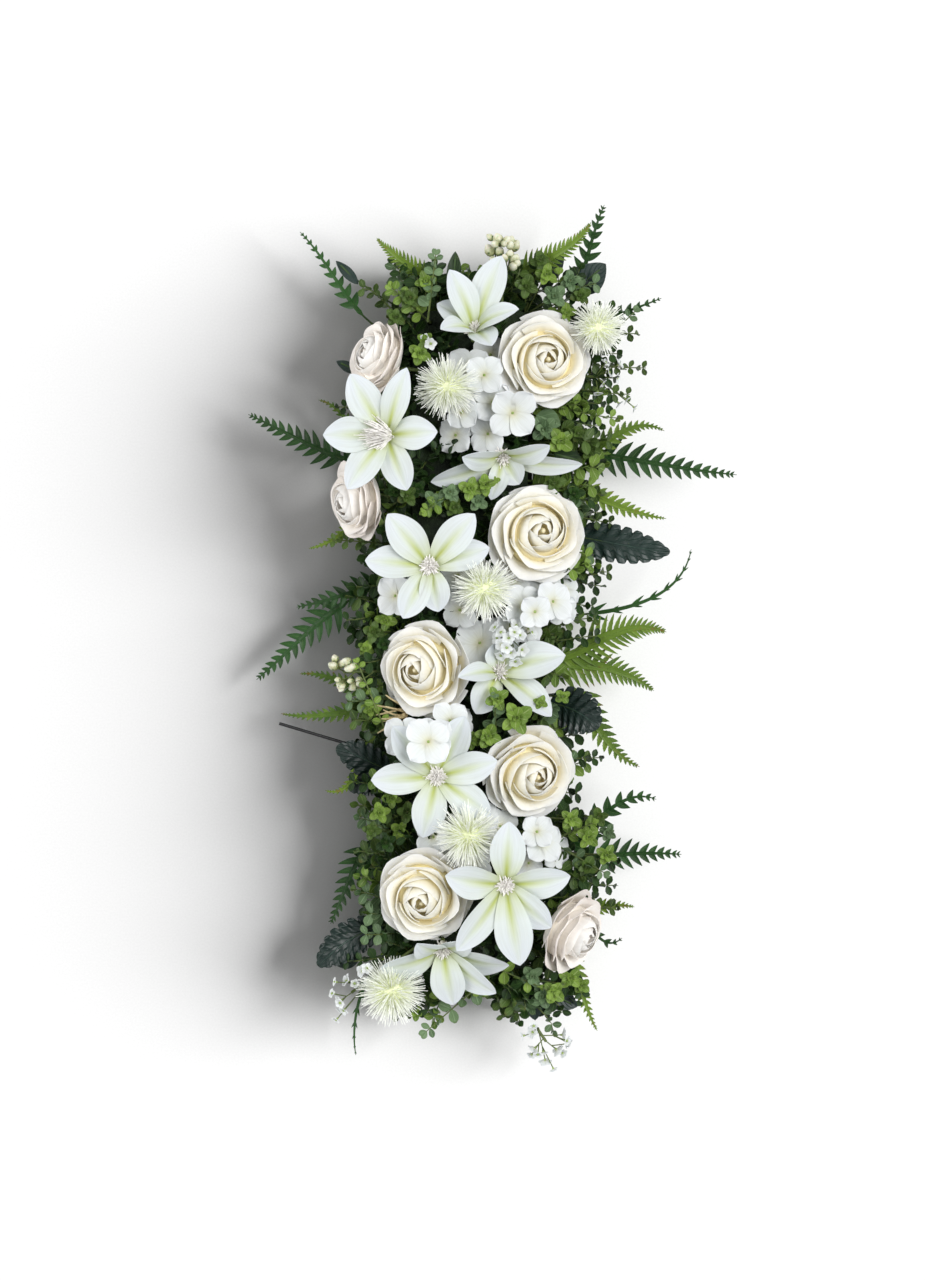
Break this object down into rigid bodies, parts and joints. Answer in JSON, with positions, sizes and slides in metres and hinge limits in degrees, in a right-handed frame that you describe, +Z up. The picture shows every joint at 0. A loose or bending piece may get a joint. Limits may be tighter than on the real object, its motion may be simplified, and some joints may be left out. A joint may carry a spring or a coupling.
{
  "type": "flower arrangement",
  "caption": "Long low arrangement of white silk roses, clematis, pincushion blooms and fern fronds that stands in a foam-filled tray.",
  "frame": {"origin": "middle of the tray's flat underside", "axes": "+Z up, +Y along the tray, +X across it"},
  "size_m": [0.491, 0.8604, 0.1483],
  "materials": {
    "berry_sprig": "moulded",
    "clematis": "satin-coated polyester",
    "dark_leaf": "moulded, satin",
    "fern_dark": "moulded, satin",
    "fern_light": "moulded, satin",
    "foam": "dry floral foam",
    "hydrangea": "sheer polyester",
    "pincushion": "fine moulded needles",
    "rose": "matt dyed silk-like polyester",
    "sprig": "moulded, satin",
    "stem_end": "plastic-coated wire",
    "tray": "moulded",
    "waxflower": "moulded"
  },
  "bodies": {
    "root": {"berry_sprig_1": "berry_sprig", "berry_sprig_2": "berry_sprig", "clematis_1": "clematis", "clematis_2": "clematis", "clematis_3": "clematis", "clematis_4": "clematis", "clematis_5": "clematis", "clematis_6": "clematis", "clematis_7": "clematis", "clematis_8": "clematis", "dark_leaf_1": "dark_leaf", "dark_leaf_2": "dark_leaf", "dark_leaf_3": "dark_leaf", "dark_leaf_4": "dark_leaf", "fern_dark_1": "fern_dark", "fern_dark_2": "fern_dark", "fern_dark_3": "fern_dark", "fern_dark_4": "fern_dark", "fern_dark_5": "fern_dark", "fern_dark_6": "fern_dark", "fern_dark_7": "fern_dark", "fern_dark_8": "fern_dark", "fern_dark_9": "fern_dark", "fern_light_1": "fern_light", "fern_light_2": "fern_light", "fern_light_3": "fern_light", "fern_light_4": "fern_light", "fern_light_5": "fern_light", "fern_light_6": "fern_light", "fern_light_7": "fern_light", "fern_light_8": "fern_light", "foam": "foam", "hydrangea_1": "hydrangea", "hydrangea_2": "hydrangea", "hydrangea_3": "hydrangea", "hydrangea_4": "hydrangea", "pincushion_1": "pincushion", "pincushion_2": "pincushion", "pincushion_3": "pincushion", "pincushion_4": "pincushion", "pincushion_5": "pincushion", "rose_1": "rose", "rose_2": "rose", "rose_3": "rose", "rose_4": "rose", "rose_5": "rose", "rose_6": "rose", "rose_7": "rose", "rose_8": "rose", "sprig_1": "sprig", "sprig_2": "sprig", "sprig_3": "sprig", "sprig_4": "sprig", "sprig_5": "sprig", "sprig_6": "sprig", "sprig_7": "sprig", "stem_end": "stem_end", "tray": "tray", "waxflower_1": "waxflower", "waxflower_2": "waxflower"}
  },
  "joints": []
}
